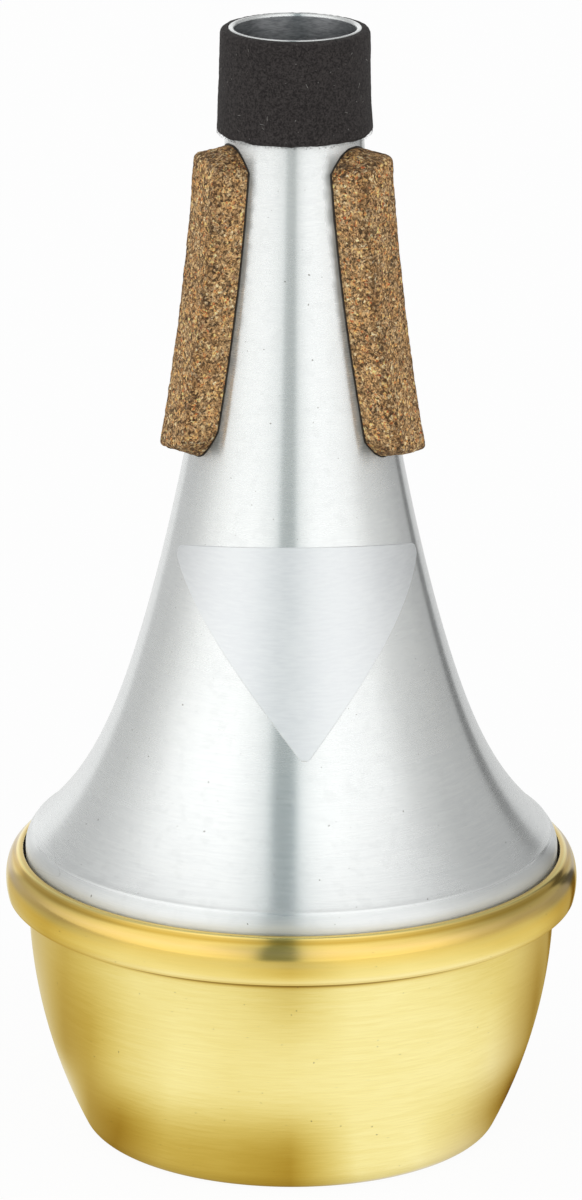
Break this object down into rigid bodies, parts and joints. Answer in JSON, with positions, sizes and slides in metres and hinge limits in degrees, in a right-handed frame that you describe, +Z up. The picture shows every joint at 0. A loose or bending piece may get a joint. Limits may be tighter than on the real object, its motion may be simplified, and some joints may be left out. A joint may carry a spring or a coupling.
{
  "type": "trumpet straight mute",
  "caption": "Hollow straight mute for a trumpet: flared aluminium cone on a beaded brass bowl, with cork strips and a felt sleeve at the open neck.",
  "frame": {"origin": "centre of the bowl's flat base, which is also the bottom centre of the bounding box", "axes": "+Z up along the mute's axis from the base to the open neck; two of the cork strips face -Y, about 30 degrees short of the X axis on each side, and the third faces +Y"},
  "size_m": [0.0892, 0.0892, 0.1753],
  "materials": {
    "spun_aluminium": "satin, brushed around the axis",
    "spun_brass": "satin bowl brushed around the axis, with a brighter polished bead",
    "sealant": "cured sealant, dull",
    "black_felt": "short-fibre black felt with a slightly frayed lower edge",
    "cork": "agglomerated cork, granular, unsealed",
    "label_foil": "pale silver foil label, blank"
  },
  "bodies": {
    "root": {"cone_body": "spun_aluminium", "bowl_bottom": "spun_brass", "seam_sealant": "sealant", "neck_sleeve": "black_felt", "cork_left": "cork", "cork_right": "cork", "cork_rear": "cork", "label": "label_foil"}
  },
  "joints": []
}
